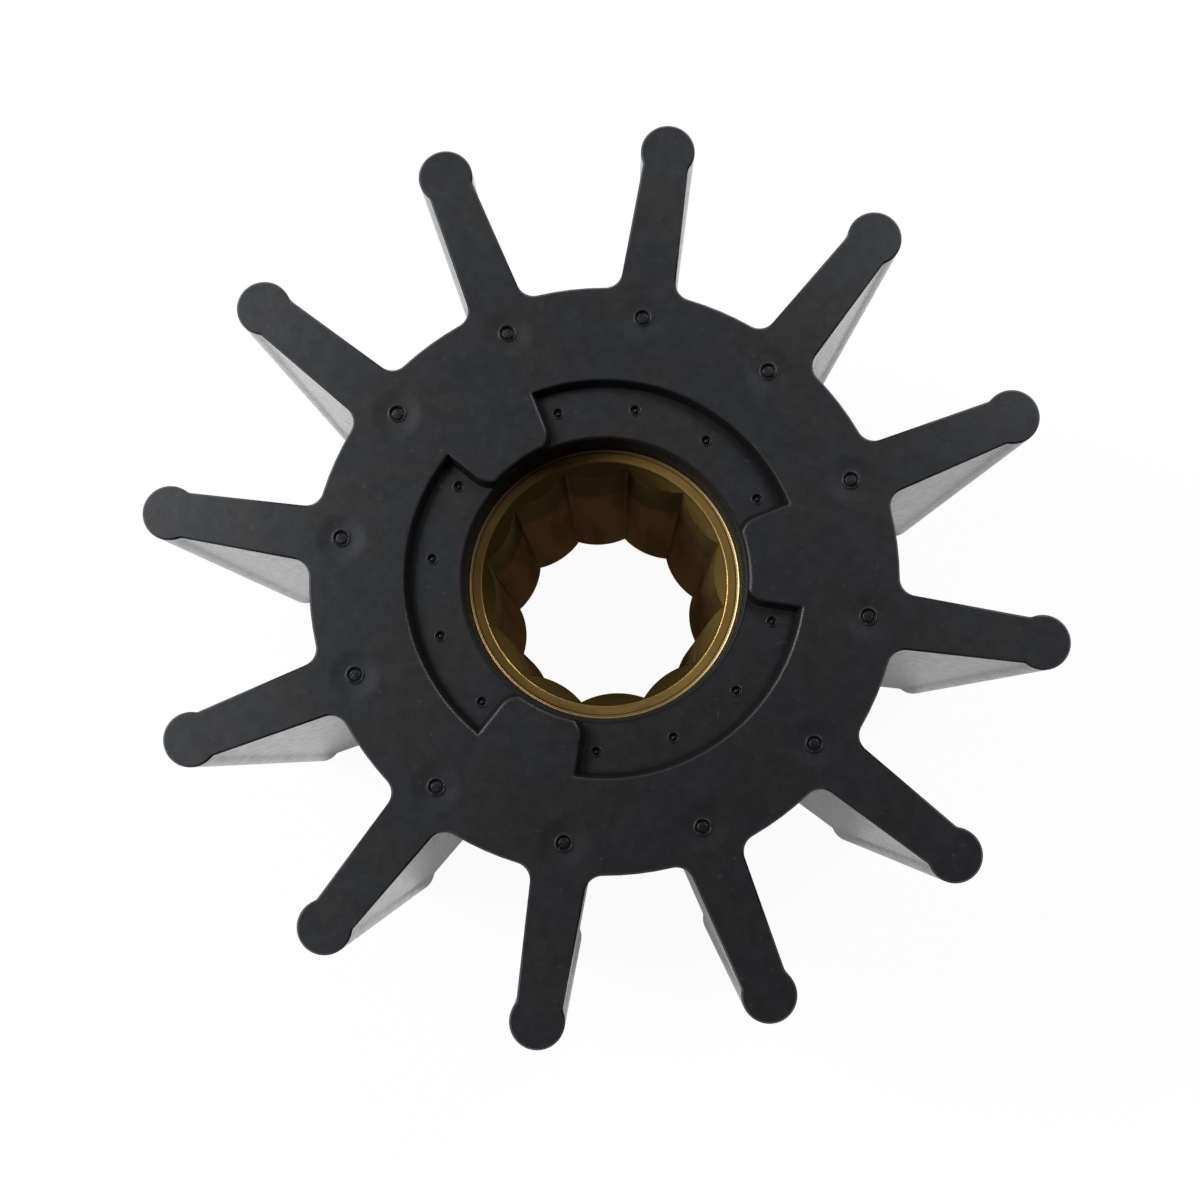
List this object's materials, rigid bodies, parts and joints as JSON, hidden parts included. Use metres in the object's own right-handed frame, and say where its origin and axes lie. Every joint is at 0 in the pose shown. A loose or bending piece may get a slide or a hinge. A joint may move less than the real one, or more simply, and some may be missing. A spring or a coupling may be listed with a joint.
{
  "type": "flexible pump impeller",
  "caption": "Rubber impeller with straight bulb-tipped blades round a hub, moulded on a brass bush with a splined bore; turns in a raw-water pump.",
  "frame": {"origin": "on the axis at the rear end face, which is the bottom of the part", "axes": "+Z along the axis towards the pictured end face, a blade along +X"},
  "size_m": [0.0952, 0.0952, 0.0762],
  "materials": {
    "rubber": "matte moulded rubber, satin on the blade sides",
    "brass": "turned face, broached bore"
  },
  "bodies": {
    "root": {"rubber_impeller": "rubber", "splined_bush": "brass"}
  },
  "joints": []
}
